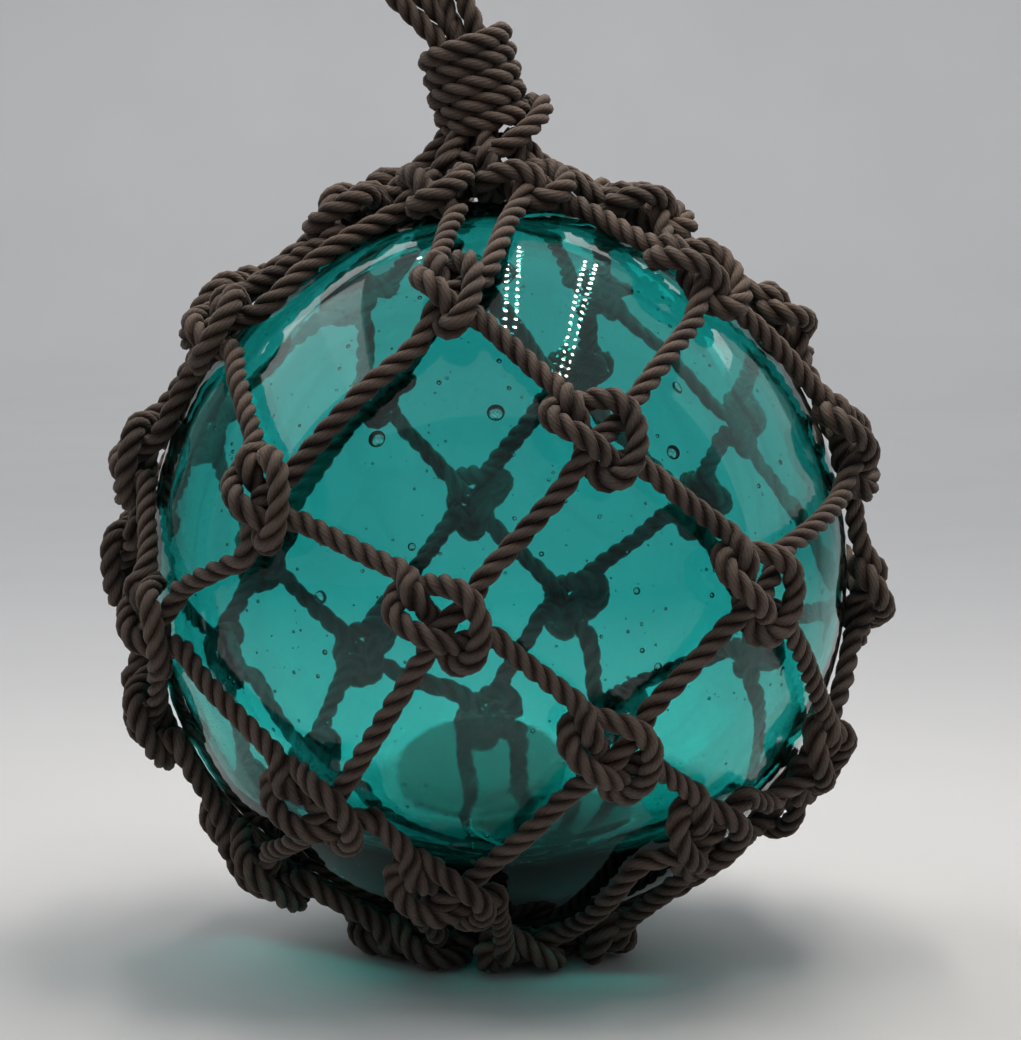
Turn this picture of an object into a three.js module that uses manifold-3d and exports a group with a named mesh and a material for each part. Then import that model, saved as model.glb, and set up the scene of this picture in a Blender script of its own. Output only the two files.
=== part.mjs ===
// Glass float ball in a knotted rope net, standing on its net, hanging loop on top.
// Millimetres, +Z up, the front faces -Y. The origin is on the floor under the ball's axis.
// The pieces are a blown glass ball, sixteen net cords, the gather knot under the ball,
// the rope serving round the neck, and the hanging loop that comes out of the serving.
// Eight cords run straight down to the left. The other eight run down to the right, and
// each of them is tied round a straight cord where the two cross, which makes the knots.

import * as THREE from "three";
import Module from "manifold-3d";

const wasm = await Module();
wasm.setup();

// Glass ball
const ballRadius = 109;          // widest, at the ball's centre height
const ballRise = 115.5;          // centre to the top, taller than wide
const ballDrop = 111;            // centre to the underside
const netUnder = 9;              // thickness of the net that the ball stands on
const centreHeight = ballDrop + netUnder;
const ballSegments = 24;
const ballRows = 11;

// Rope and fits
const ropeDiameter = 6.6;
const ropeRadius = ropeDiameter / 2;
const clearance = 0.35;          // air left between neighbouring pieces
const chordLift = 0.6;           // lifts a straight run off the curved glass
const ropeSides = 6;
const boreSides = 4;
const legSteps = 2;

// Net knots: a tied cord swells to a lump, bored for the straight cord that it grips
const knotHalfWidth = 14.5;
const knotHalfLength = 15;
const knotHalfDepth = 7.4;
const crownKnotHalfWidth = 11;   // the crowded knots at the top and bottom rows
const crownKnotHalfLength = 11;
const footKnotRelief = 1;
const footKnotHalfDepth = netUnder - footKnotRelief;   // bottom row, deep enough for the floor
const knotShoulder = 0.55;       // where a knot is full width, as a share of its half length
const knotTip = 4.3;             // half width and depth of a knot's ends, where rope enters
const gripReach = 0.4;           // how far a straight cord lies level beyond a knot's sides

// Neck and serving
const neckRise = 14.7;           // from the top of the glass to the ends of the neck ropes
const neckHeight = centreHeight + ballRise + neckRise;
const neckRing = 9.8;            // radius of the ring the neck ropes end on, evenly spaced
const neckStart = -40;           // where on the ring the first one ends, in degrees
const neckBend = 0.45;           // how far up its run a neck rope bends
const neckShift = -4.4;          // the neck stands a little left of the ball's axis
const servingGap = 3.4;          // from the ends of the neck ropes to the serving
const servingFoot = neckHeight + servingGap;
const servingTurns = 6;
const servingPitch = 6;
const servingTop = servingFoot + servingTurns * servingPitch;
const servingCrest = 16.4;
const servingValley = 13.6;
const servingInset = 1.2;        // first and last turn drawn in
const servingSegments = 12;
const servingLean = -5.5;        // sideways drift of the serving from foot to top
const shankRadius = 9.2;         // rope bundle inside the serving
const shankSides = 10;

// Loose bight at the serving's foot: to the right and to the back in shares of the crest
// radius, and upward in turns
const bightPath = [
  [0.51, -0.82, 0.9],
  [1, -0.76, 1.4],
  [1.37, -0.3, 2.07],
  [1.3, 0.24, 2.4],
  [0.82, 0.61, 2.23],
];

// Hanging loop
const loopWidth = ropeDiameter * 2;
const loopDepth = 7.4;
const loopSides = 8;
const loopReach = 41;            // from the serving's top out to the left of the loop
const loopRise = 68.8;           // from the throat to the top of the loop
const throatGap = 0.6;
const loopThroat = servingTop + throatGap;   // height at which the loop's two legs part

// Its middle line: to the left in shares of the reach, upward from the throat in shares of
// the rise
const loopPath = [
  [0, -0.09],
  [0.17, 0.055],
  [0.49, 0.215],
  [0.805, 0.39],
  [1, 0.593],
  [0.976, 0.811],
  [0.732, 0.971],
  [0.415, 1],
  [0.171, 0.869],
  [0.049, 0.666],
  [0.024, 0.404],
  [0, 0.142],
  [-0.024, -0.09],
];

// Gather knot under the ball
const gatherRadius = 12.4;
const gatherHeadroom = 0.6;      // from it up to the glass
const gatherHeight = netUnder - gatherHeadroom;
const gatherFlat = 9.5;          // radius of its flat underside and top
const gatherGap = 1.4;           // from it to the ends of the bottom ropes
const gatherSides = 12;

// Knots of the net: longitude from the front (positive to the right) and latitude, degrees.
// Sixteen columns; the even ones hold rows 0, 2, 4 and 6, the odd ones rows 1, 3 and 5.
const knotColumns = [
  [[-40, 75], [-37, 15.5], [-32, -31], [-43, -74]],
  [[-8, 50], [-8, -1], [-12, -48]],
  [[20, 78], [15, 25], [17, -21], [11, -74]],
  [[57, 53], [40, 2], [40, -38]],
  [[80, 67], [80, 20], [71, -28], [60, -73]],
  [[97, 40], [94, -5], [97, -41]],
  [[122, 68], [128, 22], [126, -17], [105, -74]],
  [[152, 47], [143, 6], [155, -32]],
  [[160, 74], [164, 28], [166, -12], [150, -73]],
  [[184, 49], [183, 6], [182, -33]],
  [[205, 68], [202, 25], [204, -20], [191, -73]],
  [[216, 47], [224, -1.5], [222, -40]],
  [[250, 73], [245, 22], [238, -18], [232, -74]],
  [[262, 43], [265, 1], [258, -45]],
  [[285, 67], [274, 18], [277, -22], [273, -73]],
  [[290, 40.5], [297, -5], [287, -50]],
];
const columnCount = knotColumns.length;
const rowCount = 2 * knotColumns[0].length - 1;
const cordColumns = [0, 2, 4, 6, 8, 10, 12, 14];   // the column each cord starts from

function direction(longitude, latitude) {
  const lon = THREE.MathUtils.degToRad(longitude);
  const lat = THREE.MathUtils.degToRad(latitude);
  return new THREE.Vector3(
    Math.sin(lon) * Math.cos(lat),
    -Math.cos(lon) * Math.cos(lat),
    Math.sin(lat),
  );
}

// Distance from the ball's centre to the glass along a direction
function glassRadius(dir) {
  const polar = dir.z > 0 ? ballRise : ballDrop;
  return 1 / Math.hypot(Math.hypot(dir.x, dir.y) / ballRadius, dir.z / polar);
}

// A point a given height above the glass
function aboveGlass(dir, height) {
  const point = dir.clone().normalize();
  point.multiplyScalar(glassRadius(point) + height);
  point.z += centreHeight;
  return point;
}

// Closed body through rings of points, one ring per station, flat at both ends
function loft(rings) {
  const count = rings[0].length;
  const positions = [];
  const indices = [];
  for (const ring of rings) {
    for (const point of ring) {
      positions.push(point.x, point.y, point.z);
    }
  }
  for (let station = 0; station < rings.length - 1; station += 1) {
    for (let i = 0; i < count; i += 1) {
      const j = (i + 1) % count;
      const a = station * count + i;
      const b = station * count + j;
      indices.push(a, b, b + count, a, b + count, a + count);
    }
  }
  const last = (rings.length - 1) * count;
  for (let i = 1; i < count - 1; i += 1) {
    indices.push(0, i + 1, i);
    indices.push(last, last + i, last + i + 1);
  }
  const geometry = new THREE.BufferGeometry();
  geometry.setAttribute("position", new THREE.Float32BufferAttribute(positions, 3));
  geometry.setIndex(indices);
  return geometry;
}

// Ring of corners round a rope, its width lying along one direction
function section(middle, across, out, halfWidth, halfDepth, sides) {
  const ring = [];
  for (let s = 0; s < sides; s += 1) {
    const turn = (2 * Math.PI * (s + 0.5)) / sides;
    const corner = middle.clone();
    corner.addScaledVector(across, halfWidth * Math.cos(turn));
    corner.addScaledVector(out, halfDepth * Math.sin(turn));
    ring.push(corner);
  }
  return ring;
}

// Rope run: the section carried along stations, mitred wherever it isn't held level
function ropeRun(stations, sides) {
  const rings = stations.map((station, i) => {
    const { point, out, halfWidth, halfDepth } = station;
    if (station.across) {
      return section(point, station.across, out, halfWidth, halfDepth, sides);
    }
    const before = stations[Math.max(i - 1, 0)].point;
    const after = stations[Math.min(i + 1, stations.length - 1)].point;
    const along = new THREE.Vector3().subVectors(after, before).normalize();
    const across = new THREE.Vector3().crossVectors(out, along).normalize();
    const mitred = new THREE.Vector3().crossVectors(along, across);
    return section(point, across, mitred, halfWidth, halfDepth, sides);
  });
  return loft(rings);
}

function ropeStation(point, out) {
  return { point, out, halfWidth: ropeRadius, halfDepth: ropeRadius };
}

// Exact solids for joining and trimming
function toSolid(geometry) {
  const indices = geometry.index.array;
  const mesh = new wasm.Mesh({
    numProp: 3,
    vertProperties: new Float32Array(geometry.attributes.position.array),
    triVerts: new Uint32Array(indices),
  });
  return new wasm.Manifold(mesh);
}

function fromSolid(solid) {
  const mesh = solid.getMesh();
  const geometry = new THREE.BufferGeometry();
  const positions = new THREE.Float32BufferAttribute(mesh.vertProperties, 3);
  geometry.setAttribute("position", positions);
  geometry.setIndex(Array.from(mesh.triVerts));
  return geometry;
}

// Everything below the floor, taken off what stands on it
const floorCut = (() => {
  const half = ballRadius * 2;
  const depth = ballRadius;
  const corners = [
    new THREE.Vector3(-half, -half, 0),
    new THREE.Vector3(half, -half, 0),
    new THREE.Vector3(half, half, 0),
    new THREE.Vector3(-half, half, 0),
  ];
  const below = corners.map((corner) => corner.clone().setZ(-depth));
  return toSolid(loft([below, corners]));
})();

// One knot of the net with its own direction and size
function knotAt(column, row) {
  const wrapped = (column + columnCount) % columnCount;
  const [longitude, latitude] = knotColumns[wrapped][Math.floor(row / 2)];
  const crowded = row === 0 || row === rowCount - 1;
  return {
    longitude,
    dir: direction(longitude, latitude),
    halfWidth: crowded ? crownKnotHalfWidth : knotHalfWidth,
    halfLength: crowded ? crownKnotHalfLength : knotHalfLength,
    halfDepth: row === rowCount - 1 ? footKnotHalfDepth : knotHalfDepth,
  };
}

// The knots that one cord passes, top row first: one column on for each row down
function knotsOfCord(column, step) {
  const knots = [];
  for (let row = 0; row < rowCount; row += 1) {
    knots.push(knotAt(column + step * row, row));
  }
  return knots;
}

// Level stretch of a cord through a knot, along the line from the last knot to the next
function alongKnot(knots, index) {
  const knot = knots[index];
  const before = knots[Math.max(index - 1, 0)].dir;
  const after = knots[Math.min(index + 1, knots.length - 1)].dir;
  const along = new THREE.Vector3().subVectors(after, before);
  along.addScaledVector(knot.dir, -along.dot(knot.dir)).normalize();
  return along;
}

function offKnot(knot, along, distance) {
  const point = aboveGlass(knot.dir, 0);
  point.z -= centreHeight;
  return point.addScaledVector(along, distance).normalize();
}

function tiedKnot(knot, along) {
  const levels = [
    [-1, knotTip, knotTip],
    [-knotShoulder, knot.halfWidth, knot.halfDepth],
    [knotShoulder, knot.halfWidth, knot.halfDepth],
    [1, knotTip, knotTip],
  ];
  return levels.map(([level, halfWidth, halfDepth]) => {
    const out = offKnot(knot, along, level * knot.halfLength);
    const point = aboveGlass(out, halfDepth + clearance + chordLift);
    return { point, out, halfWidth, halfDepth };
  });
}

// A straight cord runs through the middle of a knot's depth
function gripHalfLength(knot) {
  return knot.halfWidth + gripReach;
}

function gripped(knot, along) {
  return [-1, 1].map((level) => {
    const out = offKnot(knot, along, level * gripHalfLength(knot));
    return ropeStation(aboveGlass(out, knot.halfDepth + clearance + chordLift), out);
  });
}

// Leg of the net between two knots, bent to the glass
function leg(from, fromAlong, to, toAlong, fromReach, toReach) {
  const start = offKnot(from, fromAlong, fromReach);
  const end = offKnot(to, toAlong, -toReach);
  const stations = [];
  for (let i = 1; i < legSteps; i += 1) {
    const out = start.clone().lerp(end, i / legSteps).normalize();
    const point = aboveGlass(out, ropeRadius + clearance + chordLift);
    stations.push(ropeStation(point, out));
  }
  return stations;
}

// Neck rope from the foot of the serving down to a top-row knot
function neckRope(knot, column) {
  const lon = THREE.MathUtils.degToRad(neckStart + (360 * column) / columnCount);
  const top = new THREE.Vector3(
    neckShift + neckRing * Math.sin(lon),
    -neckRing * Math.cos(lon),
    neckHeight,
  );
  const start = aboveGlass(knot.dir, knot.halfDepth);
  const bend = start.lerp(top, neckBend);
  return [ropeStation(top, knot.dir), ropeStation(bend, knot.dir)];
}

// Bottom rope from a bottom-row knot in to the gather knot
function bottomRope(knot) {
  const inner = direction(knot.longitude, 0).multiplyScalar(gatherRadius + gatherGap);
  inner.z = -ballDrop;
  const out = inner.normalize();
  return [ropeStation(aboveGlass(out, ropeRadius + clearance), out)];
}

function straightStations(column) {
  const knots = knotsOfCord(column, -1);
  const stations = [];
  knots.forEach((knot, row) => {
    const along = alongKnot(knots, row);
    if (row > 0) {
      const last = knots[row - 1];
      const lastAlong = alongKnot(knots, row - 1);
      const reaches = [gripHalfLength(last), gripHalfLength(knot)];
      stations.push(...leg(last, lastAlong, knot, along, ...reaches));
    }
    stations.push(...gripped(knot, along));
  });
  return stations;
}

function straightCord(column) {
  return fromSolid(toSolid(ropeRun(straightStations(column), ropeSides)).subtract(floorCut));
}

// What a tied cord is cut back by, so that the straight cords pass through its knots:
// a square bore round each straight cord
const boreHalfDiagonal = (ropeRadius + clearance) * Math.SQRT2;
const straightBores = cordColumns.map((column) => {
  const wider = straightStations(column).map((station) => ({
    ...station,
    halfWidth: boreHalfDiagonal,
    halfDepth: boreHalfDiagonal,
  }));
  return toSolid(ropeRun(wider, boreSides));
}).reduce((whole, bore) => whole.add(bore));

function tiedCord(column) {
  const knots = knotsOfCord(column, 1);
  const stations = [...neckRope(knots[0], column)];
  knots.forEach((knot, row) => {
    const along = alongKnot(knots, row);
    if (row > 0) {
      const last = knots[row - 1];
      const lastAlong = alongKnot(knots, row - 1);
      stations.push(...leg(last, lastAlong, knot, along, last.halfLength, knot.halfLength));
    }
    stations.push(...tiedKnot(knot, along));
  });
  stations.push(...bottomRope(knots[rowCount - 1]));
  const run = toSolid(ropeRun(stations, ropeSides));
  return fromSolid(run.subtract(straightBores).subtract(floorCut));
}

// Glass ball: an outline turned about the upright axis
function glassBall() {
  const outline = [];
  for (let i = 0; i <= ballRows; i += 1) {
    const latitude = -90 + (180 * i) / ballRows;
    const dir = direction(0, latitude);
    const radius = glassRadius(dir);
    const onAxis = i === 0 || i === ballRows;
    const out = onAxis ? 0 : Math.hypot(dir.x, dir.y) * radius;
    outline.push(new THREE.Vector2(out, dir.z * radius + centreHeight));
  }
  const geometry = new THREE.LatheGeometry(outline, ballSegments);
  geometry.rotateX(Math.PI / 2);
  return geometry;
}

// Gather knot: flat underneath and on top, with a bulging rim
function gatherKnot() {
  const outline = [
    new THREE.Vector2(0, 0),
    new THREE.Vector2(gatherFlat, 0),
    new THREE.Vector2(gatherRadius, gatherHeight * 0.3),
    new THREE.Vector2(gatherRadius, gatherHeight * 0.7),
    new THREE.Vector2(gatherFlat, gatherHeight),
    new THREE.Vector2(0, gatherHeight),
  ];
  const geometry = new THREE.LatheGeometry(outline, gatherSides);
  geometry.rotateX(Math.PI / 2);
  return geometry;
}

// Where the leaning serving's axis stands at a given height
function servingAxis(height) {
  const rise = (height - servingFoot) / (servingTop - servingFoot);
  return neckShift + servingLean * rise;
}

function levelRing(height, radius, sides) {
  const ring = [];
  for (let i = 0; i < sides; i += 1) {
    const turn = (2 * Math.PI * (i + 0.5)) / sides;
    const x = servingAxis(height) + radius * Math.cos(turn);
    ring.push(new THREE.Vector3(x, radius * Math.sin(turn), height));
  }
  return ring;
}

// Serving: six turns of rope round the neck, bored for the bundle, with a loose bight
function ropeServing() {
  const rings = [];
  for (let turn = 0; turn <= servingTurns; turn += 1) {
    const height = servingFoot + turn * servingPitch;
    const inward = turn === 0 || turn === servingTurns ? servingInset : 0;
    rings.push(levelRing(height, servingValley - inward, servingSegments));
    if (turn < servingTurns) {
      const crest = height + servingPitch / 2;
      rings.push(levelRing(crest, servingCrest, servingSegments));
    }
  }
  const bore = loft([
    levelRing(servingFoot - servingPitch, shankRadius + clearance, shankSides),
    levelRing(servingTop + servingPitch, shankRadius + clearance, shankSides),
  ]);
  const upward = new THREE.Vector3(0, 0, 1);
  const bight = bightPath.map(([right, back, turns]) => {
    const x = neckShift + right * servingCrest;
    const height = servingFoot + turns * servingPitch;
    return ropeStation(new THREE.Vector3(x, back * servingCrest, height), upward);
  });
  const turnsAndBight = toSolid(loft(rings)).add(toSolid(ropeRun(bight, ropeSides)));
  return fromSolid(turnsAndBight.subtract(toSolid(bore)));
}

// Hanging loop: the bundle inside the serving, then two ropes side by side round an eye
function hangingLoop() {
  const out = new THREE.Vector3(0, -1, 0);
  const foot = neckShift + servingLean;
  const stations = loopPath.map(([left, up]) => {
    const x = foot - left * loopReach;
    const point = new THREE.Vector3(x, 0, loopThroat + up * loopRise);
    return { point, out, halfWidth: loopWidth / 2, halfDepth: loopDepth / 2 };
  });
  const arch = toSolid(ropeRun(stations, loopSides));
  const shank = loft([
    levelRing(servingFoot + clearance, shankRadius, shankSides),
    levelRing(loopThroat + ropeRadius, shankRadius, shankSides),
  ]);
  const upToThroat = loft([
    levelRing(servingFoot, loopReach, boreSides),
    levelRing(loopThroat, loopReach, boreSides),
  ]);
  return fromSolid(toSolid(shank).add(arch.subtract(toSolid(upToThroat))));
}

const glassColour = 0x2a9d94;
const glassRoughness = 0.08;
const ropeColour = 0x5b4b45;
const ropeRoughness = 0.9;

function piece(name, geometry, colour, roughness) {
  const material = new THREE.MeshStandardMaterial({ color: colour, roughness, metalness: 0 });
  const mesh = new THREE.Mesh(geometry, material);
  mesh.name = name;
  return mesh;
}

const whole = new THREE.Group();
whole.name = "glass_float_ball";
whole.add(piece("glass_ball", glassBall(), glassColour, glassRoughness));
cordColumns.forEach((column, index) => {
  whole.add(piece(`tied_cord_${index + 1}`, tiedCord(column), ropeColour, ropeRoughness));
  whole.add(piece(`straight_cord_${index + 1}`, straightCord(column), ropeColour, ropeRoughness));
});
whole.add(piece("gather_knot", gatherKnot(), ropeColour, ropeRoughness));
whole.add(piece("rope_serving", ropeServing(), ropeColour, ropeRoughness));
whole.add(piece("hanging_loop", hangingLoop(), ropeColour, ropeRoughness));

export default whole;
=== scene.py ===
import math
import bmesh
import bpy
from mathutils import Matrix, Vector, noise


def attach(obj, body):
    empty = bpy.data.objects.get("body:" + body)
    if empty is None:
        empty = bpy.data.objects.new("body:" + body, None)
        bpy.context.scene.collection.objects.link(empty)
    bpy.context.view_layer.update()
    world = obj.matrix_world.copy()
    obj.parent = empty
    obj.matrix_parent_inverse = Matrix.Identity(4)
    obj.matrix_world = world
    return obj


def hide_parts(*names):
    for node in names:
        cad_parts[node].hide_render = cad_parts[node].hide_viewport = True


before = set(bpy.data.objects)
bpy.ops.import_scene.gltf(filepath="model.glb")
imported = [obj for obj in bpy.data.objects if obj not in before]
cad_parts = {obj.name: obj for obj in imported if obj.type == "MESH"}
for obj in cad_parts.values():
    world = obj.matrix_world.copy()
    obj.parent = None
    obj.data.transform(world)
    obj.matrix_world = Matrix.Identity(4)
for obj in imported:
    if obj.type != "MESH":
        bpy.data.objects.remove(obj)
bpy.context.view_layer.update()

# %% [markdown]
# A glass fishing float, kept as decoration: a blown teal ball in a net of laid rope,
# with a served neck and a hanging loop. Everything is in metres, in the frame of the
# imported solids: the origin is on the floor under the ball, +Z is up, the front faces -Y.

# %% [markdown]
# The same few sizes that the solids were made from are written out here in millimetres,
# as a net maker would note them: the ball, the rope, and the places of the knots.

# %% Sizes
MM = 0.001
BALL_RADIUS = 109 * MM
BALL_RISE = 115.5 * MM
BALL_DROP = 111 * MM
CENTRE_HEIGHT = 120 * MM
WALL = 4.4 * MM
ROPE = 6.6 * MM
ROPE_LAY = 18 * MM
CORD_LAY = {"tied": 16.5 * MM, "straight": 20 * MM}
LEG_HEIGHT = 3.9 * MM
LOWEST_ROPE = 3.85 * MM
ROWS = 7

# %% [markdown]
# The net has sixteen columns of knots. Each knot has a longitude from the front, positive
# to the right, and a latitude. Even columns hold rows 0, 2, 4, 6 and odd ones rows 1, 3, 5.
# A hand-tied net has no two knots alike, so some are drawn narrower or set a little aside,
# and those at the back are smaller, as they look through the glass.

# %% Knots of the net
KNOT_COLUMNS = [
    [(-40, 75), (-37, 15.5), (-32, -31), (-43, -74)],
    [(-8, 50), (-8, -1), (-12, -48)],
    [(20, 78), (15, 25), (17, -21), (11, -74)],
    [(57, 53), (40, 2), (40, -38)],
    [(80, 67), (80, 20), (71, -28), (60, -73)],
    [(97, 40), (94, -5), (97, -41)],
    [(122, 68), (128, 22), (126, -17), (105, -74)],
    [(152, 47), (143, 6), (155, -32)],
    [(160, 74), (164, 28), (166, -12), (150, -73)],
    [(184, 49), (183, 6), (182, -33)],
    [(205, 68), (202, 25), (204, -20), (191, -73)],
    [(216, 47), (224, -1.5), (222, -40)],
    [(250, 73), (245, 22), (238, -18), (232, -74)],
    [(262, 43), (265, 1), (258, -45)],
    [(285, 67), (274, 18), (277, -22), (273, -73)],
    [(290, 40.5), (297, -5), (287, -50)],
]
COLUMNS = len(KNOT_COLUMNS)
KNOT_SHAPES = {  # (column, row): width, height, and shift east and north in mm
    (1, 1): (0.62, 1.0, -3, -3.5),
    (3, 1): (0.9, 1.0, -3, -5),
    (2, 2): (0.9, 1.0, 0, 0),
    (1, 3): (0.92, 0.96, 0, 0),
    (3, 3): (0.94, 1.0, 0, 0),
    (2, 4): (0.92, 1.0, 0, 0),
    (0, 2): (0.72, 1.05, 0, 0),
    (15, 3): (0.85, 1.0, 0, 0),
}
BACK_COLUMNS = range(6, 13)
BACK_SHAPE = (0.66, 0.76, 0, 0)
USUAL_SHAPE = (1, 1, 0, 0)


def direction(longitude, latitude):
    lon = math.radians(longitude)
    lat = math.radians(latitude)
    flat = math.cos(lat)
    return Vector((math.sin(lon) * flat, -math.cos(lon) * flat, math.sin(lat)))


def glass_radius(way):
    polar = BALL_RISE if way.z > 0 else BALL_DROP
    return 1 / math.hypot(math.hypot(way.x, way.y) / BALL_RADIUS, way.z / polar)


def above_glass(way, height):
    way = way.normalized()
    return way * (glass_radius(way) + height) + Vector((0, 0, CENTRE_HEIGHT))


def knot_way(column, row):
    return direction(*KNOT_COLUMNS[column % COLUMNS][row // 2])


print("knots:", sum(len(column) for column in KNOT_COLUMNS))

# %% [markdown]
# One knot, drawn flat as seen from outside with the ball behind it. The tied cord comes
# in at the upper left, dives under its own turn, sweeps round the right side and over the
# top, passes behind itself, and comes back across the front before it leaves at the lower
# right. The straight cord runs through the middle of that, from upper right to lower left.
# Each point is millimetres east, north, and outward from the glass, read one by one. A curve
# through such points was chosen over a modelled knot, because one route serves all 56.

# %% Route of the rope through a knot
TIED_ROUTE = [
    (-8.8, 14.5, 6.0),
    (-7.4, 10.2, 9.4),
    (-5.2, 6.4, 9.0),
    (-2.6, 2.2, 5.2),
    (-0.8, -3.4, 3.9),
    (1.0, -8.8, 5.4),
    (4.8, -11.8, 7.4),
    (9.0, -10.4, 9.2),
    (11.8, -5.8, 10.6),
    (12.4, 0.4, 11.4),
    (10.6, 5.9, 11.8),
    (6.9, 9.2, 11.2),
    (2.5, 10.7, 9.0),
    (-2.0, 11.0, 5.6),
    (-6.4, 10.9, 3.8),
    (-10.6, 9.8, 4.6),
    (-12.8, 6.6, 7.4),
    (-11.5, 2.8, 10.4),
    (-7.6, -0.1, 12.6),
    (-3.0, -2.6, 13.2),
    (1.4, -4.8, 11.4),
    (5.2, -6.0, 7.4),
    (9.6, -5.2, 4.4),
    (15.0, -4.8, 3.9),
]
STRAIGHT_ROUTE = [
    (14.6, 12.6, 3.9),
    (10.6, 7.4, 4.6),
    (6.4, 3.4, 6.6),
    (1.8, -0.4, 8.4),
    (-2.4, -5.0, 7.8),
    (-6.4, -10.4, 4.8),
    (-10.4, -15.6, 3.9),
]
TIED_SLOPE = math.radians(-45)
STRAIGHT_SLOPE = math.radians(-127)
CROWN_SCALE = 0.86
print("points in a knot:", len(TIED_ROUTE), "tied,", len(STRAIGHT_ROUTE), "straight")

# %% [markdown]
# A knot's flat route is laid on the ball at its place. It is turned so that both of its
# cords leave towards the next knots: the tied cord goes down to the right, the straight
# cord down to the left. The turn is the mean of what the two cords ask for.


# %% Knots set on the ball, each turned to its cords
def flat_angle(way, towards):
    east = Vector((0, 0, 1)).cross(way).normalized()
    north = way.cross(east)
    return math.atan2(towards.dot(north), towards.dot(east))


def neighbour_angle(column, row, step):
    here = knot_way(column, row)
    above = knot_way(column - step, row - 1) if row > 0 else here
    below = knot_way(column + step, row + 1) if row < ROWS - 1 else here
    return flat_angle(here, below - above)


def turned(angle, reference):
    return math.remainder(angle - reference, 2 * math.pi)


def knot_turn(column, row):
    tied = turned(neighbour_angle(column, row, 1), TIED_SLOPE)
    straight = turned(neighbour_angle(column, row, -1), STRAIGHT_SLOPE)
    return (tied + straight) / 2


def laid_on_knot(column, row, route):
    way = knot_way(column, row)
    east = Vector((0, 0, 1)).cross(way).normalized()
    north = way.cross(east)
    turn = knot_turn(column, row)
    scale = CROWN_SCALE if row in (0, ROWS - 1) else 1
    column %= COLUMNS
    usual = BACK_SHAPE if column in BACK_COLUMNS else USUAL_SHAPE
    wide, tall, shift_east, shift_north = KNOT_SHAPES.get((column, row), usual)
    middle = way * glass_radius(way)
    points = []
    for x, y, height in route:
        x = x * wide + shift_east
        y = y * tall + shift_north
        across = (x * math.cos(turn) - y * math.sin(turn)) * scale * MM
        up = (x * math.sin(turn) + y * math.cos(turn)) * scale * MM
        points.append(above_glass(middle + east * across + north * up, height * MM))
    return points


def leg_points(start, end, count=2):
    centre = Vector((0, 0, CENTRE_HEIGHT))
    a = start - centre
    b = end - centre
    shares = [(i + 1) / (count + 1) for i in range(count)]
    return [above_glass(a.lerp(b, share), LEG_HEIGHT) for share in shares]


# %% [markdown]
# A whole cord is its knots one after another, with a leg between each pair that follows
# the glass. A tied cord starts as one of eight ropes standing in the neck and ends in the
# gather under the ball. A straight cord starts inside a top knot and ends inside a bottom
# one. One smooth curve goes through all of the points and never comes below the floor.

# %% Whole cords, from the neck to the gather under the ball
NECK_HEIGHT = 256 * MM
NECK_RING = 10.8 * MM
NECK_START = -40
NECK_SHIFT = -4.4 * MM
GATHER_RING = 11 * MM


def neck_points(column, knot_start):
    out = direction(NECK_START + 360 * column / COLUMNS, 0)
    top = Vector((NECK_SHIFT, 0, NECK_HEIGHT)) + out * NECK_RING
    bend = Vector((NECK_SHIFT, 0, NECK_HEIGHT - 9 * MM)) + out * (NECK_RING + 7 * MM)
    return [top, bend, knot_start.lerp(bend, 0.45) + Vector((0, 0, 1.5 * MM))]


def gather_points(column):
    out = direction(KNOT_COLUMNS[column % COLUMNS][3][0], 0)
    return [
        Vector((0, 0, 5.4 * MM)) + out * 20 * MM,
        Vector((0, 0, 4.6 * MM)) + out * GATHER_RING,
    ]


def tied_cord(start_column):
    points = []
    for row in range(ROWS):
        column = start_column + row
        knot = laid_on_knot(column, row, TIED_ROUTE)
        if row == 0:
            points += neck_points(column, knot[0])
        else:
            points += leg_points(points[-1], knot[0])
        points += knot
    return points + gather_points(start_column + ROWS - 1)


def straight_cord(start_column):
    points = []
    for row in range(ROWS):
        knot = laid_on_knot(start_column - row, row, STRAIGHT_ROUTE)
        if row == 0:
            knot = knot[2:]
        else:
            points += leg_points(points[-1], knot[0])
        points += knot[:-2] if row == ROWS - 1 else knot
    return points


def smooth_path(points, step=2.0 * MM):
    """Catmull-Rom curve through the points, as evenly spaced vertices."""
    ends = [points[0] * 2 - points[1]] + points + [points[-1] * 2 - points[-2]]
    path = []
    for i in range(1, len(ends) - 2):
        a, b, c, d = ends[i - 1:i + 3]
        pieces = max(1, round((c - b).length / step))
        for j in range(pieces):
            t = j / pieces
            path.append(0.5 * (2 * b + (c - a) * t + (2 * a - 5 * b + 4 * c - d) * t ** 2
                               + (3 * b - a - 3 * c + d) * t ** 3))
    path.append(points[-1])
    for point in path:
        point.z = max(point.z, LOWEST_ROPE)
    return path


def path_length(points):
    return sum((b - a).length for a, b in zip(points, points[1:]))


cord_paths = {}
for number in range(COLUMNS // 2):
    cord_paths[f"tied_cord_{number + 1}"] = smooth_path(tied_cord(number * 2))
    cord_paths[f"straight_cord_{number + 1}"] = smooth_path(straight_cord(number * 2))
for name, path in cord_paths.items():
    print(name, "runs", round(path_length(path), 3), "m")

# %% [markdown]
# Materials. Colours are sRGB hex values turned to linear by one function, and one small
# function adds a node with its settings and links.


# %% Material helpers
def linear(hex_colour):
    channels = [int(hex_colour[i:i + 2], 16) / 255 for i in (1, 3, 5)]
    return [c / 12.92 if c <= 0.04045 else ((c + 0.055) / 1.055) ** 2.4
            for c in channels] + [1.0]


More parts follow.
